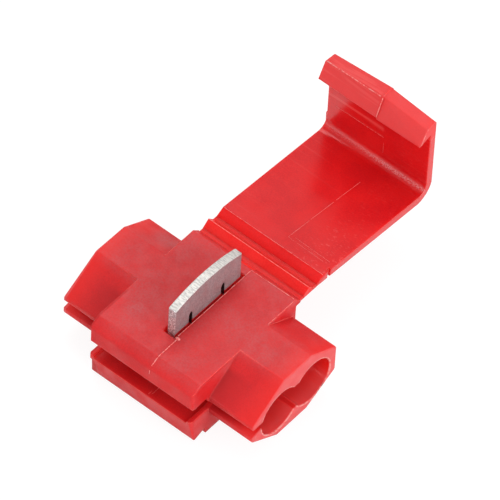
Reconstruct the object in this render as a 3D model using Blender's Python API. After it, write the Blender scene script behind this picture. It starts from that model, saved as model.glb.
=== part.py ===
"""Quick-splice T-tap wire connector, shown open with its contact blade raised.

One polypropylene moulding, the body, a double living hinge and a latch cover,
carries one stamped metal blade. +X runs along the wires, +Y from the wire gap
to the hinge, +Z up. The origin is the middle of the body's flat underside.
"""

import math

import bmesh
import bpy
from mathutils import Matrix, Vector

mm = 0.001

# Body, the whole length of the wing bar and the block across its middle
body_length = 20.0 * mm
body_height = 7.0 * mm
block_width = 10.9 * mm
block_shift = -0.1 * mm
block_rear = 5.6 * mm
jaw_front = 7.35 * mm
jaw_rim_front = 7.4 * mm
jaw_foot_front = 6.9 * mm
block_brow_run = 1.1 * mm
block_brow_drop = 0.6 * mm
block_edge_radius = 0.3 * mm
block_corner_radius = 0.5 * mm
block_foot_bevel = 0.3 * mm
end_edge_radius = 0.12 * mm

# Wing bar section
wing_front = -5.15 * mm
wing_rear = 5.24 * mm
wing_top_front = -1.4 * mm
wing_top_rear = 2.0 * mm
wing_front_corner_height = 4.35 * mm
wing_rear_corner_height = 5.15 * mm
wing_rear_foot_height = 2.3 * mm
wing_lip_foot_height = 2.4 * mm
wing_flat_front = -1.95 * mm
wing_flat_rear = 1.75 * mm
wing_flat_height = 0.4 * mm
wing_edge_radius = 0.25 * mm
left_end_skew = 0.035

# Wire channels, side by side, and the neck that joins them
channel_radius = 2.25 * mm
channel_height = 3.35 * mm
run_channel_y = -1.75 * mm
tap_channel_y = 2.25 * mm
tap_stop_thickness = 1.6 * mm
neck_width = 1.2 * mm
neck_bottom = 1.9 * mm
neck_top = 4.85 * mm
channel_sides = 48
round_profile = 0.5
arc_steps = 4
wide_arc_steps = 9
wide_radius = 0.6 * mm
least_step = 0.001 * mm

# Side entry for the run wire, between the jaws
lip_outer_height = 2.95 * mm
lip_inner_height = 3.3 * mm
lip_depth = 1.3 * mm
wing_mouth_top = 3.95 * mm
tray_floor = 2.65 * mm
tray_rim_height = 3.1 * mm
tray_rim_width = 0.5 * mm
block_mouth_top = 4.5 * mm
block_mouth_round = 0.4 * mm
left_relief_width = 0.6 * mm
left_relief_depth = 0.5 * mm
left_relief_height = 2.35 * mm

# Catch under the lower jaw for the hook
catch_height = 0.25 * mm
catch_depth = 1.45 * mm
catch_slope = math.radians(20.0)

# Plate, double living hinge and how far the cover droops as moulded
cover_width = 10.7 * mm
cover_shift = -0.05 * mm
plate_thickness = 0.85 * mm
web_thickness = 0.3 * mm
web_half_gap = 0.2 * mm
hinge_ledge = 0.75 * mm
groove_slope = math.radians(40.0)
ridge_slope = math.radians(46.0)
lead_slope = math.radians(34.5)
cover_droop = math.radians(5.6)

# Cover wall and hook
closed_gap = 0.25 * mm
latch_clearance = 0.06 * mm
hook_clearance = 0.1 * mm
wall_lean = math.radians(5.8)
wall_thickness = 0.7 * mm
wall_root_radius = 0.9 * mm
wall_outer_radius = 1.8 * mm
hook_depth = 1.75 * mm
hook_reach = 1.54 * mm
hook_left_step = 0.22 * mm
hook_left_top = 0.66 * mm
hook_left_rise = 0.15 * mm
hook_right_top = 0.5 * mm
hook_right_drop = 0.2 * mm
hook_crown = 0.55 * mm
hook_edge_radius = 0.1 * mm
wall_top_radius = 0.35 * mm
seam_x = 0.72 * mm
seam_width = 0.06 * mm
gate_low = 0.25 * mm
gate_high = 1.3 * mm
gate_proud = 0.22 * mm
gate_inset = 0.2 * mm
nick_width = 0.3 * mm
nick_depth = 0.25 * mm
nick_run = 1.65 * mm

# Contact blade
blade_thickness = 0.78 * mm
blade_front = -3.74 * mm
blade_rear = 4.48 * mm
blade_rise = 2.85 * mm
blade_crown = 0.65 * mm
blade_tip_clearance = 0.15 * mm
blade_edge_radius = 0.06 * mm
blade_clearance = 0.26 * mm
wire_slot_width = 0.42 * mm
wire_slot_rise = 1.1 * mm
wire_slot_mouth = 1.1 * mm
wire_slot_flare = 0.7 * mm
slot_floor = 1.3 * mm

# Places that follow from the sizes above
plate_underside = body_height - plate_thickness
hinge_height = plate_underside + web_thickness / 2
plate_offset = body_height - hinge_height
body_hinge_y = block_rear + hinge_ledge
strip_length = plate_offset + closed_gap + body_height - hinge_height
closed_height = body_height + closed_gap
rim_drop = closed_height - tray_rim_height
plate_length = body_hinge_y + jaw_rim_front + latch_clearance + math.tan(wall_lean) * rim_drop
wall_drift = math.tan(wall_lean) * (tray_rim_height - catch_height)
hook_grip = hook_reach + wall_drift + jaw_foot_front - jaw_rim_front - latch_clearance
hook_tip_height = closed_height - catch_height - math.tan(catch_slope) * hook_grip + hook_clearance
hook_height = (hook_tip_height + math.sin(wall_lean) * hook_reach) / math.cos(wall_lean)
hook_undercut = math.tan(catch_slope - wall_lean) * hook_reach
wall_height = hook_height + hook_depth
web_half = web_thickness / 2
block_left = block_shift - block_width / 2
block_right = block_shift + block_width / 2
cover_left = cover_shift - cover_width / 2
cover_right = cover_shift + cover_width / 2
blade_bottom = channel_height + channel_radius + blade_tip_clearance
blade_shoulder = body_height + blade_rise


def clear_scene():
    for thing in list(bpy.data.objects):
        bpy.data.objects.remove(thing, do_unlink=True)


def plastic(name, colour, roughness, metallic=0.0):
    material = bpy.data.materials.new(name)
    material.use_nodes = True
    shader = material.node_tree.nodes["Principled BSDF"]
    shader.inputs["Base Color"].default_value = (*colour, 1.0)
    shader.inputs["Roughness"].default_value = roughness
    shader.inputs["Metallic"].default_value = metallic
    material.diffuse_color = (*colour, 1.0)
    return material


def rounded(corners):
    """An outline from (y, z, radius) corners, each turned into an arc of that radius."""
    outline = []
    for index, (y, z, radius) in enumerate(corners):
        here = Vector((y, z))
        before = Vector(corners[index - 1][:2]) - here
        after = Vector(corners[(index + 1) % len(corners)][:2]) - here
        if radius <= 0.0:
            outline.append(here)
            continue
        half = before.angle(after) / 2
        reach = radius / math.tan(half)
        centre = here + (before.normalized() + after.normalized()).normalized() * (
            radius / math.sin(half)
        )
        start = here + before.normalized() * reach - centre
        sweep = start.angle_signed(here + after.normalized() * reach - centre)
        steps = wide_arc_steps if radius > wide_radius else arc_steps
        for step in range(steps + 1):
            outline.append(centre + Matrix.Rotation(-sweep * step / steps, 2) @ start)
    return outline


def prism(name, outline, low_x, high_x):
    """A solid with a (y, z) outline, drawn out along X."""
    mesh = bpy.data.meshes.new(name)
    shape = bmesh.new()
    ring = [shape.verts.new((low_x, y, z)) for y, z in outline]
    cap = shape.faces.new(ring)
    drawn = bmesh.ops.extrude_face_region(shape, geom=[cap])
    moved = [part for part in drawn["geom"] if isinstance(part, bmesh.types.BMVert)]
    bmesh.ops.translate(shape, verts=moved, vec=(high_x - low_x, 0.0, 0.0))
    bmesh.ops.recalc_face_normals(shape, faces=shape.faces)
    shape.to_mesh(mesh)
    shape.free()
    thing = bpy.data.objects.new(name, mesh)
    bpy.context.scene.collection.objects.link(thing)
    return thing


def drawn_along(name, stations):
    """A solid through (x, outline) stations, whose outlines have the same number of points."""
    mesh = bpy.data.meshes.new(name)
    shape = bmesh.new()
    first_x, outline = stations[0]
    ring = [shape.verts.new((first_x, y, z)) for y, z in outline]
    first_cap = shape.faces.new(ring)
    cap = first_cap
    for x, outline in stations[1:]:
        drawn = bmesh.ops.extrude_face_region(shape, geom=[cap])
        if cap is not first_cap:
            bmesh.ops.delete(shape, geom=[cap], context="FACES_ONLY")
        cap = [part for part in drawn["geom"] if isinstance(part, bmesh.types.BMFace)][0]
        ends = {vertex.co.copy().freeze(): vertex for vertex in cap.verts}
        ring = [ends[vertex.co.copy().freeze()] for vertex in ring]
        for vertex, (y, z) in zip(ring, outline):
            vertex.co = (x, y, z)
    bmesh.ops.recalc_face_normals(shape, faces=shape.faces)
    shape.to_mesh(mesh)
    shape.free()
    thing = bpy.data.objects.new(name, mesh)
    bpy.context.scene.collection.objects.link(thing)
    return thing


def bevel_edges(thing, chosen, width, segments=2):
    """Rounds the edges that chosen() picks by its two end points."""
    shape = bmesh.new()
    shape.from_mesh(thing.data)
    picked = [e for e in shape.edges if chosen(e.verts[0].co, e.verts[1].co)]
    bmesh.ops.bevel(
        shape,
        geom=picked,
        offset=width,
        offset_type="OFFSET",
        segments=segments,
        profile=round_profile,
        affect="EDGES",
        clamp_overlap=True,
        material=-1,
    )
    shape.to_mesh(thing.data)
    shape.free()


def box(name, low, high):
    return prism(
        name,
        [(low[1], low[2]), (high[1], low[2]), (high[1], high[2]), (low[1], high[2])],
        low[0],
        high[0],
    )


def rod(name, radius, y, z, low_x, high_x):
    """A round cutter along X."""
    turn = math.tau / channel_sides
    outline = [
        (y + radius * math.cos(turn * n), z + radius * math.sin(turn * n))
        for n in range(channel_sides)
    ]
    return prism(name, outline, low_x, high_x)


def combine(target, tool, operation):
    """Joins or cuts a solid with a hidden tool."""
    tool.hide_render = True
    tool.display_type = "WIRE"
    modifier = target.modifiers.new(tool.name, "BOOLEAN")
    modifier.operation = operation
    modifier.solver = "EXACT"
    modifier.object = tool


def finish(thing, material, smooth_below=30.0):
    thing.data.materials.append(material)
    thing.data.shade_smooth()
    thing.data.set_sharp_from_angle(angle=math.radians(smooth_below))


def along_x(first, second):
    return abs(first.x - second.x) > least_step


def wing_bar():
    outline = rounded(
        [
            (wing_flat_front, wing_flat_height, wing_edge_radius),
            (wing_flat_rear, wing_flat_height, wing_edge_radius),
            (wing_rear, wing_rear_foot_height, wing_edge_radius),
            (wing_rear, wing_rear_corner_height, wing_edge_radius),
            (wing_top_rear, body_height, wing_edge_radius),
            (wing_top_front, body_height, wing_edge_radius),
            (wing_front, wing_front_corner_height, wing_edge_radius),
            (wing_front, wing_lip_foot_height, wing_edge_radius),
        ]
    )
    bar = prism("body", outline, -body_length / 2, body_length / 2)
    bevel_edges(bar, lambda a, b: not along_x(a, b), end_edge_radius)
    for vertex in bar.data.vertices:
        if vertex.co.x < 0.0 and vertex.co.y < 0.0:
            vertex.co.x += left_end_skew * vertex.co.y
    return bar


def block_shape():
    """The block across the bar, with the catch under its lip and the hinge ledge behind."""
    groove_run = (plate_offset - web_half) / math.tan(groove_slope)
    catch_back = -jaw_foot_front + catch_depth
    outline = rounded(
        [
            (catch_back, 0.0, block_edge_radius / 2),
            (block_rear, 0.0, block_foot_bevel),
            (block_rear, plate_underside, block_edge_radius / 2),
            (body_hinge_y - web_half_gap, plate_underside, 0.0),
            (body_hinge_y - web_half_gap, hinge_height + web_half, 0.0),
            (body_hinge_y - web_half_gap - groove_run, body_height, end_edge_radius),
            (-jaw_front + block_brow_run, body_height, block_edge_radius),
            (-jaw_front, body_height - block_brow_drop, block_edge_radius),
            (-jaw_rim_front, tray_rim_height, 0.0),
            (-jaw_foot_front, catch_height, block_edge_radius),
            (catch_back, catch_height + math.tan(catch_slope) * catch_depth, end_edge_radius),
        ]
    )
    block = prism("block_tool", outline, -block_width, block_width)
    combine(block, block_plan(), "INTERSECT")
    return block


def block_plan():
    """The block seen from above, with its front corners rounded, as an upright solid."""
    front = -jaw_rim_front - end_edge_radius / 4
    outline = rounded(
        [
            (front, block_left, block_corner_radius),
            (body_hinge_y, block_left, 0.0),
            (body_hinge_y, block_right, 0.0),
            (front, block_right, block_corner_radius),
        ]
    )
    plan = prism("block_plan_tool", outline, -body_height * 2, body_height)
    plan.rotation_euler = (0.0, math.pi / 2, 0.0)
    return plan


def jaw_gap(floor, back):
    """Outline of the gap between the block's jaws, the upper one rounded underneath."""
    outer = -jaw_front - block_width / 2
    top = block_mouth_top
    turn = block_mouth_round
    outline = [(outer, floor), (back, floor), (back, top)]
    for step in range(5):
        angle = math.pi / 8 * step
        outline.append(
            (-jaw_front + turn * (1 - math.sin(angle)), top + turn * (1 - math.cos(angle)))
        )
    outline.append((outer, top + turn))
    return outline


def mouth_shape():
    """The gap between the wing jaws, over a lip whose top rises inwards."""
    outer = -jaw_front - block_width / 2
    lip_back = wing_front + lip_depth
    outline = [
        (outer, lip_outer_height),
        (wing_front, lip_outer_height),
        (lip_back, lip_inner_height),
        (run_channel_y, lip_inner_height),
        (run_channel_y, wing_mouth_top),
        (outer, wing_mouth_top),
    ]
    return prism("wing_mouth_tool", outline, -body_length, body_length)


def build_body(material):
    body = wing_bar()
    combine(body, block_shape(), "UNION")
    beyond = body_length
    outer = -jaw_front - block_width / 2
    gap_back = wing_front - end_edge_radius
    tray_left = block_left + tray_rim_width
    tray_right = block_right - tray_rim_width
    left_relief_x = block_left + left_relief_width
    stop = -body_length / 2 + tap_stop_thickness
    middle = (run_channel_y + tap_channel_y) / 2
    slot_half = blade_thickness / 2 + blade_clearance
    cutters = [
        mouth_shape(),
        rod("run_channel_tool", channel_radius, run_channel_y, channel_height, -beyond, beyond),
        rod("tap_channel_tool", channel_radius, tap_channel_y, channel_height, stop, beyond),
        box(
            "neck_tool",
            (stop, middle - neck_width / 2, neck_bottom),
            (beyond, middle + neck_width / 2, neck_top),
        ),
        prism("tray_tool", jaw_gap(tray_floor, run_channel_y), tray_left, tray_right),
        prism("rim_gap_tool", jaw_gap(tray_rim_height, gap_back), -beyond, beyond),
        box(
            "left_relief_tool",
            (-block_width, outer, -body_height),
            (left_relief_x, -jaw_rim_front + left_relief_depth, left_relief_height),
        ),
        box(
            "blade_slot_tool",
            (-slot_half, blade_front - blade_clearance, slot_floor),
            (slot_half, blade_rear + blade_clearance, body_height * 2),
        ),
    ]
    for cutter in cutters:
        combine(body, cutter, "DIFFERENCE")
    finish(body, material)
    return body


def build_strip(material):
    """The link between the two hinge grooves, its origin on the body's hinge line."""
    rise = plate_offset - web_half
    outline = rounded(
        [
            (web_half_gap, -web_half, 0.0),
            (strip_length - web_half_gap, -web_half, 0.0),
            (strip_length - web_half_gap, web_half, 0.0),
            (strip_length - web_half_gap - rise / math.tan(ridge_slope), plate_offset, 0.0),
            (web_half_gap + rise / math.tan(groove_slope), plate_offset, 0.0),
            (web_half_gap, web_half, 0.0),
        ]
    )
    strip = prism("hinge_strip", outline, cover_left, cover_right)
    strip.location = (0.0, body_hinge_y, hinge_height)
    finish(strip, material)
    return strip


def leaned(along, inward):
    """A point of the cover wall, in the cover's own frame, from its height and inward reach."""
    up = Vector((-math.sin(wall_lean), math.cos(wall_lean)))
    across = Vector((-math.cos(wall_lean), -math.sin(wall_lean)))
    return Vector((plate_length, plate_offset)) + up * along + across * inward


def cover_outline(hook_top, top_rise, hook_tip, top):
    """Plate, wall and hook, with the wall's top at that height along it."""
    rise = plate_offset - web_half
    plate_low = plate_offset - plate_thickness
    outer_corner = leaned(-plate_thickness, -wall_thickness)
    return rounded(
        [
            (web_half_gap, -web_half, 0.0),
            (outer_corner.x, plate_low, wall_outer_radius),
            (*leaned(top, -wall_thickness), wall_top_radius),
            (*leaned(top + top_rise, hook_top), hook_edge_radius),
            (*leaned(hook_tip, hook_reach), hook_edge_radius),
            (*leaned(hook_tip + hook_undercut, 0.0), 0.0),
            (plate_length, plate_offset, wall_root_radius),
            (web_half_gap + rise / math.tan(lead_slope), plate_offset, 0.0),
            (web_half_gap, web_half, 0.0),
        ]
    )


def left_outline(top):
    return cover_outline(hook_left_top, hook_left_rise, hook_height + hook_left_step, top)


def right_outline(top):
    return cover_outline(hook_right_top, -hook_right_drop, hook_height, top)


def build_cover(material, strip):
    """Plate, wall and hook. The top is a low gable, and the hook's two halves differ."""
    crest = wall_height + hook_crown
    cover = drawn_along(
        "cover",
        [
            (cover_left, left_outline(wall_height)),
            (seam_x, left_outline(crest)),
            (seam_x + seam_width, right_outline(crest)),
            (cover_right, right_outline(wall_height)),
        ],
    )
    nick = box(
        "nick_tool",
        (cover_right - nick_depth, nick_run, -plate_thickness),
        (cover_right + nick_depth, nick_run + nick_width, body_height),
    )
    gate_back = gate_inset - wall_thickness
    gate = prism(
        "gate_tool",
        rounded(
            [
                (*leaned(gate_low, gate_back), hook_edge_radius),
                (*leaned(gate_high, gate_back), hook_edge_radius),
                (*leaned(gate_high, -gate_inset), hook_edge_radius),
                (*leaned(gate_low, -gate_inset), hook_edge_radius),
            ]
        ),
        cover_left - gate_proud,
        cover_left + gate_proud,
    )
    combine(cover, nick, "DIFFERENCE")
    combine(cover, gate, "UNION")
    for thing in (cover, nick, gate):
        thing.parent = strip
        thing.location = (0.0, strip_length, 0.0)
        thing.rotation_euler = (-cover_droop, 0.0, 0.0)
    finish(cover, material)
    return cover


def blade_outline():
    """A plate with a crowned top and two wire slots with flared mouths."""
    middle = (blade_front + blade_rear) / 2
    half = (blade_rear - blade_front) / 2
    radius = (half**2 + blade_crown**2) / (2 * blade_crown)
    centre_z = blade_shoulder + blade_crown - radius
    swing = math.asin(half / radius)
    steps = 20
    crown = [
        (
            middle + radius * math.sin(swing - 2 * swing * n / steps),
            centre_z + radius * math.cos(swing - 2 * swing * n / steps),
        )
        for n in range(steps + 1)
    ]
    slot_half = wire_slot_width / 2
    slot_top = body_height + wire_slot_rise
    foot = []
    for centre in (run_channel_y, tap_channel_y):
        foot += [
            (centre - wire_slot_mouth / 2, blade_bottom),
            (centre - slot_half, blade_bottom + wire_slot_flare),
            (centre - slot_half, slot_top - slot_half * 1.6),
            (centre - slot_half * 0.55, slot_top - slot_half * 0.5),
            (centre, slot_top),
            (centre + slot_half * 0.55, slot_top - slot_half * 0.5),
            (centre + slot_half, slot_top - slot_half * 1.6),
            (centre + slot_half, blade_bottom + wire_slot_flare),
            (centre + wire_slot_mouth / 2, blade_bottom),
        ]
    corner = wire_slot_flare / 2
    return (
        [(blade_front, blade_bottom + corner), (blade_front + corner, blade_bottom)]
        + foot
        + [(blade_rear - corner, blade_bottom), (blade_rear, blade_bottom + corner)]
        + crown
    )


def build_blade(material):
    blade = prism("contact_blade", blade_outline(), -blade_thickness / 2, blade_thickness / 2)
    bevel_edges(blade, lambda a, b: not along_x(a, b), blade_edge_radius, 1)
    finish(blade, material)
    return blade


clear_scene()
red = plastic("red_polypropylene", (0.78, 0.045, 0.048), 0.42)
tin = plastic("tinned_brass", (0.62, 0.61, 0.60), 0.38, 1.0)
build_body(red)
hinge_strip = build_strip(red.copy())
build_cover(red.copy(), hinge_strip)
build_blade(tin)
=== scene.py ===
import math
import random

import bmesh
import bpy
from mathutils import Matrix, Vector


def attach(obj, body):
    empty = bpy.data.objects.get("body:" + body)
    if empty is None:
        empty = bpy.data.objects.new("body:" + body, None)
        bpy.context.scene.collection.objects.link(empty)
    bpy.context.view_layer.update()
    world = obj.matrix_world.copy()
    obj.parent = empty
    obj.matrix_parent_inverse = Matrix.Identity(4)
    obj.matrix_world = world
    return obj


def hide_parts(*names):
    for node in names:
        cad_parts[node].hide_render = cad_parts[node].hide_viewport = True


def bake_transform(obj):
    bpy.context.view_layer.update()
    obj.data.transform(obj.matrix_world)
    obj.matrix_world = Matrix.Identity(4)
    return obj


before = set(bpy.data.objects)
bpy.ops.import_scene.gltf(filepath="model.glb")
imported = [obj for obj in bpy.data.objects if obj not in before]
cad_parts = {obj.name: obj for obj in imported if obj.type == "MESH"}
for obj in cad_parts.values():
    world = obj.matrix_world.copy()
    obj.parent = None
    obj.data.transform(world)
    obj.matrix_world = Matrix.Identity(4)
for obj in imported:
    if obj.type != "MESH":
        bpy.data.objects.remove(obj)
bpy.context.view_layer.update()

# Camera: a long lens looking down at the open connector from its wire gap side.
# Place, turn and focal length were fitted to the straight edges of the moulding.
camera_azimuth = math.radians(37.546)
camera_elevation = math.radians(51.013)
camera_roll = math.radians(-3.5)
camera_place = Vector((0.24803940, -0.31671906, 0.51143340))
camera_right = Vector((math.cos(camera_azimuth), math.sin(camera_azimuth), 0.0))
camera_back = Vector((
    math.sin(camera_azimuth) * math.cos(camera_elevation),
    -math.cos(camera_azimuth) * math.cos(camera_elevation),
    math.sin(camera_elevation),
))
camera_up = camera_back.cross(camera_right)
camera_turn = Matrix((camera_right, camera_up, camera_back)).transposed()
camera_turn = camera_turn @ Matrix.Rotation(-camera_roll, 3, "Z")
camera_data = bpy.data.cameras.new("camera")
camera_data.lens = 576.0
camera_data.sensor_width = 36.0
camera_data.clip_start = 0.05
camera_data.clip_end = 10.0
camera = bpy.data.objects.new("camera", camera_data)
camera.matrix_world = Matrix.Translation(camera_place) @ camera_turn.to_4x4()
bpy.context.scene.collection.objects.link(camera)
bpy.context.scene.camera = camera

# Floor: a plain white table under the block. The camera, gloss and clear light
# paths see it as white paper, and it keeps the connector's soft shadow.
floor_reach = 1.5
floor_drop = 0.00002
paper_white = (0.82, 0.82, 0.82, 1.0)
paper_faint = (0.16, 0.16, 0.16, 1.0)
paper_glow = 0.9
floor_mesh = bpy.data.meshes.new("floor")
floor_shape = bmesh.new()
bmesh.ops.create_grid(floor_shape, x_segments=1, y_segments=1, size=floor_reach)
floor_shape.to_mesh(floor_mesh)
floor_shape.free()
floor = bpy.data.objects.new("floor", floor_mesh)
floor.location = (0.0, 0.0, -floor_drop)
bpy.context.scene.collection.objects.link(floor)


def link(material, source, target):
    material.node_tree.links.new(source, target)


def node(material, kind, **values):
    made = material.node_tree.nodes.new(kind)
    for name, value in values.items():
        setattr(made, name, value)
    return made


floor_white = bpy.data.materials.new("floor_white")
floor_white.use_nodes = True
floor_white.node_tree.nodes.clear()
floor_paths = node(floor_white, "ShaderNodeLightPath")
floor_seen = node(floor_white, "ShaderNodeMath", operation="MAXIMUM")
floor_seen_clear = node(floor_white, "ShaderNodeMath", operation="MAXIMUM")
floor_paper = node(floor_white, "ShaderNodeBsdfDiffuse")
floor_paper.inputs["Color"].default_value = paper_white
floor_faint = node(floor_white, "ShaderNodeBsdfDiffuse")
floor_faint.inputs["Color"].default_value = paper_faint
floor_glow = node(floor_white, "ShaderNodeEmission")
floor_glow.inputs["Strength"].default_value = paper_glow
floor_both = node(floor_white, "ShaderNodeAddShader")
floor_mix = node(floor_white, "ShaderNodeMixShader")
floor_out = node(floor_white, "ShaderNodeOutputMaterial")
for source, target in (
    (floor_paths.outputs["Is Camera Ray"], floor_seen.inputs[0]),
    (floor_paths.outputs["Is Glossy Ray"], floor_seen.inputs[1]),
    (floor_seen.outputs[0], floor_seen_clear.inputs[0]),
    (floor_paths.outputs["Is Transmission Ray"], floor_seen_clear.inputs[1]),
    (floor_faint.outputs[0], floor_both.inputs[0]),
    (floor_glow.outputs[0], floor_both.inputs[1]),
    (floor_seen_clear.outputs[0], floor_mix.inputs[0]),
    (floor_paper.outputs[0], floor_mix.inputs[1]),
    (floor_both.outputs[0], floor_mix.inputs[2]),
    (floor_mix.outputs[0], floor_out.inputs["Surface"]),
):
    link(floor_white, source, target)
floor_mesh.materials.append(floor_white)

# Light: an even white room and three big soft lamps, the main one high above the
# hinges, one to the right for the wire ends and one before the wire gap.
room_strength = 0.6
lamp_aim = Vector((0.0, 0.004, 0.004))
room = bpy.data.worlds.new("room")
room.use_nodes = True
room_light = room.node_tree.nodes["Background"]
room_light.inputs["Color"].default_value = (1.0, 1.0, 1.0, 1.0)
room_light.inputs["Strength"].default_value = room_strength
bpy.context.scene.world = room


def soft_lamp(name, place, size, power):
    data = bpy.data.lights.new(name, "AREA")
    data.shape = "SQUARE"
    data.size = size
    data.energy = power
    lamp = bpy.data.objects.new(name, data)
    lamp.location = place
    lamp.rotation_euler = (lamp_aim - Vector(place)).to_track_quat("-Z", "Y").to_euler()
    bpy.context.scene.collection.objects.link(lamp)


soft_lamp("lamp_above", (-0.17, 0.16, 0.55), 0.35, 1.15)
soft_lamp("lamp_right", (0.50, -0.03, 0.20), 0.35, 1.5)
soft_lamp("lamp_front", (-0.18, -0.50, 0.14), 0.3, 0.42)

bpy.context.scene.view_settings.view_transform = "Standard"

# The body: the moulding's wing bar, block and jaws in clear red polypropylene.
# Its tool was spark eroded, so it is satin with a fine grain and paler smudges, with a
# painted sheen on the top faces, a painted glow on its edges and painted highlights on
# fine edges.
mm = 0.001
red_deep = (0.60, 0.006, 0.010, 1.0)
red_lit = (0.73, 0.011, 0.013, 1.0)
red_edge_glow = (0.95, 0.050, 0.042, 1.0)
red_edge_highlight = (0.93, 0.24, 0.22, 1.0)
light_spread = (1.0, 0.1, 0.08)
light_depth = 1.8 * mm
plastic_ior = 1.49
fine_edge = 0.07 * mm
patch_scale = 330.0
speck_scale = 7500.0
wear_scale = 2600.0
grain_scale = 8500.0


def object_place(material):
    return node(material, "ShaderNodeTexCoord").outputs["Object"]


def along(material, axis):
    parts = node(material, "ShaderNodeSeparateXYZ")
    link(material, object_place(material), parts.inputs[0])
    return parts.outputs[axis]


def noise(material, scale, detail=3.0, stretch=None):
    place = object_place(material)
    if stretch:
        mapping = node(material, "ShaderNodeMapping")
        mapping.inputs["Scale"].default_value = stretch
        link(material, place, mapping.inputs["Vector"])
        place = mapping.outputs["Vector"]
    cloud = node(material, "ShaderNodeTexNoise")
    cloud.inputs["Scale"].default_value = scale
    cloud.inputs["Detail"].default_value = detail
    link(material, place, cloud.inputs["Vector"])
    return cloud.outputs["Fac"]


def ramp(material, value, low, high, to_low=0.0, to_high=1.0):
    ranged = node(material, "ShaderNodeMapRange", interpolation_type="SMOOTHSTEP")
    ranged.inputs["From Min"].default_value = low
    ranged.inputs["From Max"].default_value = high
    ranged.inputs["To Min"].default_value = to_low
    ranged.inputs["To Max"].default_value = to_high
    link(material, value, ranged.inputs["Value"])
    return ranged.outputs["Result"]


def reckon(material, operation, *values):
    made = node(material, "ShaderNodeMath", operation=operation)
    for socket, value in zip(made.inputs, values):
        if isinstance(value, float):
            socket.default_value = value
        else:
            link(material, value, socket)
    return made.outputs[0]


def times(material, first, second):
    return reckon(material, "MULTIPLY", first, second)


def larger(material, first, second):
    return reckon(material, "MAXIMUM", first, second)


def blend_colour(material, share, low, high):
    mix = node(material, "ShaderNodeMix", data_type="RGBA")
    link(material, share, mix.inputs[0])
    for socket, value in ((mix.inputs[6], low), (mix.inputs[7], high)):
        if isinstance(value, tuple):
            socket.default_value = value
        else:
            link(material, value, socket)
    return mix.outputs[2]


def layered(material, tone, layers):
    for share, colour in layers:
        tone = blend_colour(material, share, tone, colour)
    return tone


def closeness(material, place, centre, inner, outer):
    away = node(material, "ShaderNodeVectorMath", operation="DISTANCE")
    link(material, place, away.inputs[0])
    away.inputs[1].default_value = centre
    return ramp(material, away.outputs["Value"], inner, outer, 1.0, 0.0)


def near(material, centre, inner, outer):
    return closeness(material, object_place(material), centre, inner, outer)


def from_line(material, y, z, inner, outer):
    parts = node(material, "ShaderNodeCombineXYZ")
    link(material, along(material, "Y"), parts.inputs["Y"])
    link(material, along(material, "Z"), parts.inputs["Z"])
    return closeness(material, parts.outputs[0], (0.0, y, z), inner, outer)


def edge_share(material, radius, gain):
    soft = node(material, "ShaderNodeBevel", samples=6)
    soft.inputs["Radius"].default_value = radius
    flat = node(material, "ShaderNodeNewGeometry")
    agree = node(material, "ShaderNodeVectorMath", operation="DOT_PRODUCT")
    link(material, soft.outputs[0], agree.inputs[0])
    link(material, flat.outputs["Normal"], agree.inputs[1])
    return soft.outputs[0], ramp(material, agree.outputs["Value"], 1.0, 1.0 - gain)


def red_plastic(name, low, high, edge_radius, grain_height, subsurface, specular):
    material = bpy.data.materials.new(name)
    material.use_nodes = True
    shader = material.node_tree.nodes["Principled BSDF"]
    patches = ramp(material, noise(material, patch_scale), 0.3, 0.7, 0.0, 0.65)
    specks = ramp(material, noise(material, speck_scale, 2.0), 0.3, 0.7, 0.0, 0.6)
    # Painted glow: edges are painted a brighter red, standing in for light coming through
    # thin plastic.
    soft_normal, edges = edge_share(material, edge_radius, 0.16)
    # Painted highlight: fine edges are painted pale pink, broken up by noise.
    fine_edges = edge_share(material, fine_edge, 0.12)[1]
    edge_highlight_break = ramp(material, noise(material, wear_scale), 0.35, 0.62, 0.1, 0.6)
    tone = blend_colour(material, reckon(material, "ADD", patches, specks), low, high)
    tone = layered(material, tone, (
        (times(material, edges, 0.9), red_edge_glow),
        (times(material, fine_edges, edge_highlight_break), red_edge_highlight),
    ))
    bump = node(material, "ShaderNodeBump")
    bump.inputs["Strength"].default_value = 0.7
    bump.inputs["Distance"].default_value = grain_height
    link(material, noise(material, grain_scale), bump.inputs["Height"])
    link(material, soft_normal, bump.inputs["Normal"])
    link(material, bump.outputs[0], shader.inputs["Normal"])
    link(material, tone, shader.inputs["Base Color"])
    shader.inputs["Subsurface Weight"].default_value = subsurface
    shader.inputs["Subsurface Radius"].default_value = light_spread
    shader.inputs["Subsurface Scale"].default_value = light_depth
    shader.inputs["Specular IOR Level"].default_value = specular
    shader.inputs["IOR"].default_value = plastic_ior
    return material, shader, tone


# Shares of the body's surface, by place: paler smudges with a painted sheen on the top
# faces, a painted glow on the thin wing ends, painted shade on the wing roots by the
# block, a painted sheen on the end faces, and painted glow, reflection and highlights in
# the wire bores and the blade's slot.
body_red, body_shader, body_tone = red_plastic(
    "body_red", red_deep, red_lit, 0.22 * mm, 0.016 * mm, 0.55, 0.38)
body_x = along(body_red, "X")
body_y = along(body_red, "Y")
body_z = along(body_red, "Z")
body_off_middle = reckon(body_red, "ABSOLUTE", body_x)
run_bore_y = -1.75 * mm
tap_bore_y = 2.25 * mm
bore_z = 3.35 * mm


def round_bores(inner, outer):
    return larger(body_red, from_line(body_red, run_bore_y, bore_z, inner, outer),
                  from_line(body_red, tap_bore_y, bore_z, inner, outer))


# Paler smudges and a painted sheen: the top faces are painted greyish pink in clouds, with
# smudged spots near the slot and on the left wing's rear chamfer, all in specks.
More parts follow.
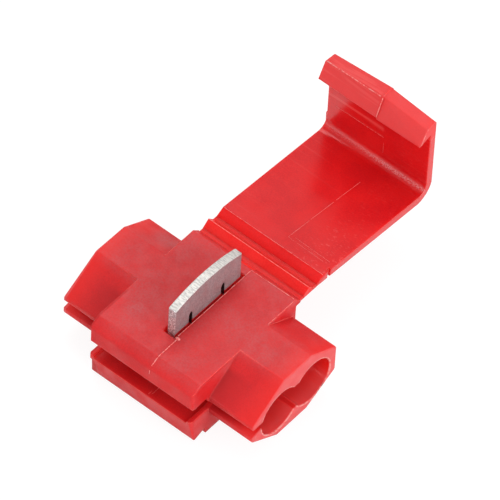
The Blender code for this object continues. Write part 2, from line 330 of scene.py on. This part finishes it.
top_sheen_share = ramp(body_red, body_z, 6.4 * mm, 6.9 * mm, 0.15, 0.9)
smudge_sheen_cloud = ramp(body_red, noise(body_red, 380.0, 5.0), 0.34, 0.70, 0.3, 0.75)
rub_corner = near(body_red, (-3.7 * mm, -3.9 * mm, 7.0 * mm), 0.2 * mm, 2.1 * mm)
rub_chamfer = near(body_red, (-6.9 * mm, 3.9 * mm, 5.9 * mm), 0.4 * mm, 2.0 * mm)
rub_spots = times(body_red, larger(body_red, rub_corner, rub_chamfer), 0.9)
smudge_sheen_speck = ramp(body_red, noise(body_red, 6500.0, 3.0), 0.3, 0.7, 0.45, 1.0)
smudges_and_top_sheen = times(
    body_red, larger(body_red, times(body_red, smudge_sheen_cloud, top_sheen_share), rub_spots), smudge_sheen_speck)
# Painted glow: the thin wing ends are painted a brighter red, as if light filled them.
painted_end_glow = ramp(body_red, body_off_middle, 7.6 * mm, 10.0 * mm, 0.0, 0.55)
# Painted shade: the front slopes of the wing roots beside the block are painted a darker
# red.
painted_root_shade = times(
    body_red,
    ramp(body_red, body_off_middle, 5.5 * mm, 9.0 * mm, 0.75, 0.0),
    ramp(body_red, body_off_middle, 5.30 * mm, 5.42 * mm))
painted_root_shade = times(
    body_red, painted_root_shade, ramp(body_red, body_y, -2.5 * mm, -3.1 * mm))
# Painted sheen: the end faces are painted a paler pink.
end_face_sheen = ramp(body_red, body_off_middle, 9.85 * mm, 9.95 * mm, 0.0, 0.6)
bores = round_bores(2.28 * mm, 2.36 * mm)
# Painted glow: the bores near their mouths are painted a bright red.
bore_mouth_glow = times(body_red, bores, ramp(body_red, body_x, 8.4 * mm, 9.8 * mm, 0.0, 0.8))
# Painted reflection: the lower halves of the bores are painted pinker, most of all by the
# mouths.
bore_floor_reflection = times(body_red, bores, ramp(body_red, body_z, 1.2 * mm, 3.2 * mm, 0.7, 0.0))
mouth_floor_reflection = times(
    body_red, bore_mouth_glow, ramp(body_red, body_z, 1.6 * mm, 3.4 * mm, 0.5, 0.0))
# Painted glow: the blade slot's walls are painted a bright red.
slot_depth = times(
    body_red,
    ramp(body_red, body_z, 6.86 * mm, 6.94 * mm, 1.0, 0.0),
    ramp(body_red, body_z, 5.3 * mm, 5.6 * mm))
slot_glow = times(
    body_red, ramp(body_red, body_off_middle, 0.68 * mm, 0.72 * mm, 1.0, 0.0), slot_depth)
slot_glow = times(
    body_red, slot_glow, ramp(body_red, body_y, -4.3 * mm, -4.1 * mm))
# Painted highlight: the rims of the bores at the right end are painted pale pink, broken
# up by noise.
bore_rims = times(
    body_red, round_bores(2.34 * mm, 2.42 * mm),
    ramp(body_red, body_x, 9.88 * mm, 9.93 * mm))
rim_highlight_break = ramp(body_red, noise(body_red, 3200.0), 0.35, 0.6, 0.1, 0.75)
body_tone = layered(body_red, body_tone, (
    (smudges_and_top_sheen, (0.57, 0.085, 0.092, 1.0)),
    (painted_end_glow, (0.88, 0.016, 0.012, 1.0)),
    (painted_root_shade, (0.47, 0.004, 0.008, 1.0)),
    (end_face_sheen, (0.74, 0.125, 0.130, 1.0)),
    (bore_mouth_glow, (1.0, 0.032, 0.024, 1.0)),
    (bore_floor_reflection, (0.90, 0.070, 0.070, 1.0)),
    (mouth_floor_reflection, (0.95, 0.15, 0.15, 1.0)),
    (slot_glow, (1.0, 0.030, 0.026, 1.0)),
    (times(body_red, bore_rims, rim_highlight_break), (0.95, 0.36, 0.34, 1.0)),
))
link(body_red, body_tone, body_shader.inputs["Base Color"])
satin = ramp(body_red, noise(body_red, 900.0), 0.3, 0.7, 0.44, 0.6)
bore_polish = ramp(body_red, bores, 0.0, 1.0, 1.0, 0.28)
link(body_red, times(body_red, satin, bore_polish), body_shader.inputs["Roughness"])


def put_in_scene(name, shape, material):
    mesh = bpy.data.meshes.new(name)
    shape.to_mesh(mesh)
    shape.free()
    mesh.materials.append(material)
    piece = bpy.data.objects.new(name, mesh)
    bpy.context.scene.collection.objects.link(piece)
    return piece


# The node's own triangles are welded into faces, and its outer edges rounded.
weld = 0.0001 * mm
same_plane = math.radians(1.0)
least_edge = math.radians(28.0)
crease = math.radians(34.6)


def eased(node_name, piece_name, material, rounds):
    shape = bmesh.new()
    shape.from_mesh(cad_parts[node_name].data)
    bmesh.ops.remove_doubles(shape, verts=shape.verts, dist=weld)
    bmesh.ops.dissolve_limit(
        shape, angle_limit=same_plane, verts=shape.verts, edges=shape.edges)
    for wanted, radius, segments in rounds:
        sharp = [edge for edge in shape.edges if edge.is_manifold
                 and edge.calc_face_angle_signed() > least_edge and wanted(edge)]
        bmesh.ops.bevel(
            shape, geom=sharp, offset=radius, segments=segments, profile=0.5,
            affect="EDGES", clamp_overlap=False, material=-1)
    piece = put_in_scene(piece_name, shape, material)
    piece.data.shade_smooth()
    piece.data.set_sharp_from_angle(angle=crease)
    even = piece.modifiers.new("even_shading", "WEIGHTED_NORMAL")
    even.keep_sharp = True
    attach(piece, node_name)
    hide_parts(node_name)
    return piece


def long_edge(edge):
    return edge.calc_length() > 0.4 * mm and edge.calc_face_angle() > math.radians(50.0)


def jaw_corner(edge):
    rise = abs((edge.verts[0].co - edge.verts[1].co).z)
    return rise > 1.0 * mm and all(
        vert.co.x < -4.9 * mm and vert.co.y < -6.85 * mm and vert.co.z < 2.4 * mm
        for vert in edge.verts)


def bore_rim(edge):
    at_end = all(vert.co.x > 9.9 * mm for vert in edge.verts)
    turn = edge.calc_face_angle()
    return at_end and edge.calc_length() > 0.1 * mm and turn > math.radians(60.0)


eased("body", "body_moulding", body_red, [
    (jaw_corner, 0.28 * mm, 4),
    (bore_rim, 0.07 * mm, 2),
    (long_edge, 0.09 * mm, 3),
])

# Mould lines on the body: thin beads of plastic squeezed out where the two tool
# halves and the blade slot's core met, and one round nub before the slot.
bead_step = 0.35 * mm
bead_ragged = 0.3
flash_red, flash_shader, flash_tone = red_plastic(
    "flash_red", red_lit, red_edge_glow, 0.02 * mm, 0.004 * mm, 0.0, 0.4)
flash_shader.inputs["Roughness"].default_value = 0.35
flash_pale = ramp(flash_red, noise(flash_red, 5000.0), 0.35, 0.6)
flash_tone = blend_colour(flash_red, flash_pale, flash_tone, (0.92, 0.30, 0.28, 1.0))
link(flash_red, flash_tone, flash_shader.inputs["Base Color"])


def flash_line(name, runs, body, radius, seed):
    ragged = random.Random(seed)
    shape = bmesh.new()
    for start, end in runs:
        first, last = Vector(start) * mm, Vector(end) * mm
        turn = (last - first).to_track_quat("Z", "Y").to_matrix().to_4x4()
        length = (last - first).length
        rod = bmesh.ops.create_cone(
            shape, cap_ends=True, segments=6, radius1=radius, radius2=radius, depth=length,
            matrix=Matrix.Translation((first + last) / 2) @ turn)
        sides = {edge for vert in rod["verts"] for edge in vert.link_edges
                 if edge.calc_length() > length * 0.9}
        split = bmesh.ops.subdivide_edges(
            shape, edges=list(sides), cuts=max(1, int(length / bead_step)),
            use_grid_fill=False)
        for part in split["geom_inner"]:
            if isinstance(part, bmesh.types.BMVert):
                part.co += Vector([
                    ragged.uniform(-bead_ragged, bead_ragged) * radius for _ in range(3)])
    bmesh.ops.recalc_face_normals(shape, faces=shape.faces)
    piece = put_in_scene(name, shape, flash_red)
    piece.data.shade_smooth()
    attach(piece, body)


flash_line("body_seam", [
    ((0.84, -4.02, 7.0), (0.86, -6.20, 7.0)),
    ((0.86, -6.18, 7.0), (0.86, -7.12, 6.54)),
    ((0.86, -7.32, 6.20), (0.86, -7.35, 5.75)),
], "body", radius=0.045 * mm, seed=3)
flash_line("tray_seam", [
    ((0.86, -4.6, 2.65), (0.86, -6.88, 2.65)),
    ((0.86, -6.92, 3.10), (0.86, -7.34, 3.10)),
], "body", radius=0.012 * mm, seed=4)
flash_line("slot_rim", [
    ((0.67, -3.70, 7.0), (0.67, 4.62, 7.0)),
    ((0.67, 4.70, 7.0), (0.68, 5.46, 7.0)),
    ((0.68, 5.46, 7.0), (5.15, 5.50, 7.0)),
], "body", radius=0.03 * mm, seed=5)
flash_line("block_rim", [
    ((5.28, 2.1, 6.995), (5.29, 3.1, 6.99)),
    ((5.28, 3.3, 6.99), (5.29, 5.5, 6.99)),
], "body", radius=0.022 * mm, seed=6)
nub_size = (0.24 * mm, 0.14 * mm, 0.11 * mm)
nub_place = (0.84 * mm, -3.88 * mm, 7.0 * mm)
nub = bmesh.new()
bmesh.ops.create_uvsphere(nub, u_segments=14, v_segments=8, radius=1.0)
bmesh.ops.scale(nub, vec=nub_size, verts=nub.verts)
bmesh.ops.translate(nub, vec=nub_place, verts=nub.verts)
slot_nub = put_in_scene("slot_nub", nub, flash_red)
slot_nub.data.shade_smooth()
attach(slot_nub, "body")

# The cover: the same plastic, but from a polished face of the tool, so its plate
# and wall are glossy inside, with fine tool streaks and some scuffs. The hook at
# the top is satin like the body and painted brighter as a glow, and the fillet between
# plate and wall is frosted, with painted glints.
cover_red, cover_shader, cover_tone = red_plastic(
    "cover_red", red_deep, red_lit, 0.14 * mm, 0.005 * mm, 0.55, 0.42)
cover_x = along(cover_red, "X")
cover_y = along(cover_red, "Y")
cover_z = along(cover_red, "Z")
hook_share = ramp(cover_red, cover_z, 11.9 * mm, 12.5 * mm)
gloss_cloud = ramp(cover_red, noise(cover_red, 700.0), 0.3, 0.7, 0.0, 0.07)
gloss_to_satin = ramp(cover_red, hook_share, 0.0, 1.0, 0.19, 0.5)
link(cover_red, reckon(cover_red, "ADD", gloss_cloud, gloss_to_satin),
     cover_shader.inputs["Roughness"])
plate_streaks = ramp(
    cover_red, noise(cover_red, 1.0, 2.0, (90.0, 2600.0, 2600.0)), 0.60, 0.82, 0.0, 0.16)
wall_left = ramp(cover_red, cover_x, 0.4 * mm, 0.7 * mm, 1.0, 0.0)
wall_inside = ramp(cover_red, cover_y, 22.3 * mm, 22.5 * mm, 1.0, 0.0)
wall_high = ramp(cover_red, cover_z, 8.8 * mm, 9.1 * mm)
wall_streaks = ramp(
    cover_red, noise(cover_red, 1.0, 2.0, (120.0, 3800.0, 3800.0)), 0.45, 0.65, 0.0, 0.6)
wall_streaks = times(
    cover_red, wall_streaks,
    times(cover_red, times(cover_red, wall_left, wall_inside), wall_high))
scuffs = ramp(
    cover_red, noise(cover_red, 1.0, 3.0, (2600.0, 5200.0, 5200.0)), 0.56, 0.70, 0.0, 0.5)
scuffs = times(
    cover_red, scuffs,
    times(cover_red, ramp(cover_red, cover_x, 0.6 * mm, 3.0 * mm),
          ramp(cover_red, cover_y, 11.0 * mm, 16.0 * mm, 1.0, 0.25)))
# Frosted specks in the fillet, painted pale as glints, more towards the right.
fillet_band = from_line(cover_red, 21.95 * mm, 5.95 * mm, 0.05 * mm, 0.24 * mm)
fillet_specks = ramp(cover_red, noise(cover_red, 10500.0, 2.0), 0.42, 0.62)
fillet_right = ramp(cover_red, cover_x, -2.5 * mm, 1.0 * mm, 0.2, 0.75)
fillet_frost_and_glint = times(
    cover_red, times(cover_red, fillet_band, fillet_specks), fillet_right)
cover_tone = layered(cover_red, cover_tone, (
    (larger(cover_red, larger(cover_red, plate_streaks, wall_streaks), scuffs),
     (0.84, 0.12, 0.11, 1.0)),
    (fillet_frost_and_glint, (0.85, 0.32, 0.33, 1.0)),
    # Painted glow: the hook is painted a brighter red, as if light filled the thin hook.
    (times(cover_red, hook_share, 0.6), (0.88, 0.070, 0.070, 1.0)),
))
link(cover_red, cover_tone, cover_shader.inputs["Base Color"])
cover_piece = eased("cover", "cover_moulding", cover_red, [
    (long_edge, 0.08 * mm, 3),
])

# The cover's sloped front, beside the hinge groove: the same shot, but dull, and painted
# a deeper red as shade, because it faces the groove and not the room.
groove_rear = 8.98 * mm
groove_shade_red, groove_shader = red_plastic(
    "groove_shade_red", (0.70, 0.008, 0.009, 1.0), (0.82, 0.014, 0.014, 1.0),
    0.05 * mm, 0.004 * mm, 0.6, 0.10)[:2]
groove_shader.inputs["Roughness"].default_value = 0.5
cover_piece.data.materials.append(groove_shade_red)
for face in cover_piece.data.polygons:
    if face.center.y < groove_rear and face.normal.y < -0.2:
        face.material_index = 1

# Mould lines on the cover: the joint between the plate's inserts, the line of
# the wall's insert, and whitish torn flash along the hook and its right end.
plate_rise = 0.0981
plate_front_y = 10.2
plate_front_z = 6.787


def on_plate(x, y):
    return (x, y, plate_front_z + (plate_front_y - y) * plate_rise)


flash_line("plate_seam", [
    (on_plate(0.78, 19.2), on_plate(0.68, 16.2)),
    (on_plate(0.68, 15.9), on_plate(0.60, 13.1)),
    (on_plate(0.60, 12.9), on_plate(0.54, 10.3)),
], "cover", radius=0.014 * mm, seed=7)
flash_line("plate_tool_lines", [
    (on_plate(0.58, 10.28), on_plate(4.30, 10.20)),
    (on_plate(1.00, 10.62), on_plate(4.75, 10.54)),
], "cover", radius=0.008 * mm, seed=8)
# Painted highlight: a pale bead along the plate's front edge.
flash_line("plate_edge_highlight_bead", [
    ((-5.30, 9.06, 6.895), (-1.2, 9.06, 6.898)),
    ((-1.15, 9.06, 6.897), (5.22, 9.06, 6.895)),
], "cover", radius=0.016 * mm, seed=12)
flash_line("wall_seam", [
    ((-4.7, 22.222, 8.72), (0.60, 22.222, 8.79)),
], "cover", radius=0.014 * mm, seed=9)
flash_line("wall_joint", [
    ((0.62, 22.224, 8.6), (0.64, 22.224, 6.9)),
], "cover", radius=0.008 * mm, seed=10)
flash_line("hook_flash", [
    ((-5.25, 21.56, 14.42), (-3.9, 21.53, 14.47)),
    ((-3.75, 21.53, 14.48), (0.55, 21.46, 14.67)),
    ((0.74, 21.46, 14.60), (0.74, 20.75, 12.80)),
    ((5.28, 22.02, 14.00), (5.29, 21.62, 13.75)),
    ((5.29, 21.60, 13.75), (5.29, 21.05, 12.60)),
], "cover", radius=0.042 * mm, seed=11)

# The link between the two hinges: a ridge of the same shot, painted vivid red as a
# glow where it is thin enough for the light to fill, with a pale bead along its crest as a
# painted highlight.
web_glow_red, web_shader = red_plastic(
    "web_glow_red", (0.86, 0.012, 0.012, 1.0), (0.95, 0.030, 0.026, 1.0),
    0.08 * mm, 0.004 * mm, 0.6, 0.14)[:2]
web_shader.inputs["Roughness"].default_value = 0.34
crest_z = 6.95 * mm


def below_crest(edge):
    return long_edge(edge) and all(vert.co.z < crest_z for vert in edge.verts)


eased("hinge_strip", "strip_moulding", web_glow_red, [
    (below_crest, 0.05 * mm, 3),
])
# Painted highlight: a pale bead along the strip's crest.
flash_line("strip_crest_highlight_bead", [
    ((-5.33, 7.25, 6.985), (0.9, 7.25, 6.99)),
    ((0.95, 7.25, 6.99), (5.22, 7.25, 6.985)),
], "hinge_strip", radius=0.03 * mm, seed=13)

# The two living hinges: thin webs that bridge the grooves, a third of a
# millimetre thick.
web_left = -5.38 * mm
web_right = 5.28 * mm
web_middle_x = (web_left + web_right) / 2
web_z = 6.30 * mm
web_thickness = 0.29 * mm
web_cuts = 9


def hinge_web(name, front, rear, sag):
    shape = bmesh.new()
    bmesh.ops.create_cube(shape, size=1.0)
    bmesh.ops.scale(
        shape, vec=(web_right - web_left, rear - front, web_thickness), verts=shape.verts)
    bmesh.ops.translate(
        shape, vec=(web_middle_x, (front + rear) / 2, web_z), verts=shape.verts)
    lengthwise = [edge for edge in shape.edges
                  if abs((edge.verts[0].co - edge.verts[1].co).y) > 0.1 * mm]
    bmesh.ops.subdivide_edges(shape, edges=lengthwise, cuts=web_cuts, use_grid_fill=True)
    for vert in shape.verts:
        share = (vert.co.y - front) / (rear - front)
        vert.co.z -= sag * share
    piece = put_in_scene(name, shape, web_glow_red)
    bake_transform(piece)


hinge_web("body_web", 6.10 * mm, 6.60 * mm, 0.0)
hinge_web("cover_web", 7.75 * mm, 8.25 * mm, 0.02 * mm)

# The contact blade: stamped from brass strip and plated with dull grey tin. The
# press left fine marks across its top edge, painted pale there as a highlight, and grainy
# broken ends; its two wire slots are painted dark as shade, and its foot is painted red as
# a reflection of the slot in the block.
tin_dark = (0.34, 0.285, 0.30, 1.0)
tin_light = (0.46, 0.40, 0.41, 1.0)
blade_tin = bpy.data.materials.new("blade_tin")
blade_tin.use_nodes = True
blade_shader = blade_tin.node_tree.nodes["Principled BSDF"]
blade_facing = node(blade_tin, "ShaderNodeSeparateXYZ")
link(blade_tin, node(blade_tin, "ShaderNodeTexCoord").outputs["Normal"],
     blade_facing.inputs[0])
blade_y = along(blade_tin, "Y")
# Press marks with a painted highlight: faces turned up are painted pale.
blade_top_highlight = ramp(blade_tin, blade_facing.outputs["Z"], 0.25, 0.55)
blade_ends = larger(
    blade_tin,
    ramp(blade_tin, blade_y, -3.66 * mm, -3.72 * mm),
    ramp(blade_tin, blade_y, 4.40 * mm, 4.46 * mm))
blade_sideways = reckon(blade_tin, "ABSOLUTE", blade_facing.outputs["X"])
# Painted shade: faces not turned sideways, inside the wire slots, are painted near black.
blade_slot_shade = ramp(blade_tin, blade_sideways, 0.7, 0.4)
# Painted reflection: the blade's foot is painted red.
blade_foot_red_reflection = ramp(blade_tin, along(blade_tin, "Z"), 7.02 * mm, 6.92 * mm, 0.0, 0.85)
blade_cloud = ramp(blade_tin, noise(blade_tin, 7000.0, 2.0), 0.3, 0.7)
blade_marks = ramp(
    blade_tin, noise(blade_tin, 1.0, 3.0, (2200.0, 8000.0, 2200.0)), 0.36, 0.60)
blade_crown = blend_colour(
    blade_tin, blade_marks, (0.52, 0.50, 0.48, 1.0), (0.76, 0.73, 0.69, 1.0))
blade_grain = ramp(blade_tin, noise(blade_tin, 9500.0, 2.0), 0.42, 0.62)
blade_torn = blend_colour(
    blade_tin, blade_grain, (0.40, 0.35, 0.36, 1.0), (0.80, 0.78, 0.78, 1.0))
blade_tone = layered(
    blade_tin, blend_colour(blade_tin, blade_cloud, tin_dark, tin_light), (
        (blade_foot_red_reflection, (1.0, 0.030, 0.030, 1.0)),
        (blade_slot_shade, (0.045, 0.03, 0.028, 1.0)),
        (blade_top_highlight, blade_crown),
        (blade_ends, blade_torn),
    ))
link(blade_tin, blade_tone, blade_shader.inputs["Base Color"])
blade_bump = node(blade_tin, "ShaderNodeBump")
blade_bump.inputs["Strength"].default_value = 0.8
blade_bump.inputs["Distance"].default_value = 0.01 * mm
link(blade_tin, blade_marks, blade_bump.inputs["Height"])
blade_soft = node(blade_tin, "ShaderNodeBevel", samples=4)
blade_soft.inputs["Radius"].default_value = 0.05 * mm
link(blade_tin, blade_soft.outputs[0], blade_bump.inputs["Normal"])
link(blade_tin, blade_bump.outputs[0], blade_shader.inputs["Normal"])
blade_shader.inputs["Metallic"].default_value = 0.55
blade_dullness = ramp(blade_tin, noise(blade_tin, 1500.0), 0.3, 0.7, 0.42, 0.6)
link(blade_tin, blade_dullness, blade_shader.inputs["Roughness"])
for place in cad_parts["contact_blade"].material_slots:
    place.material = blade_tin
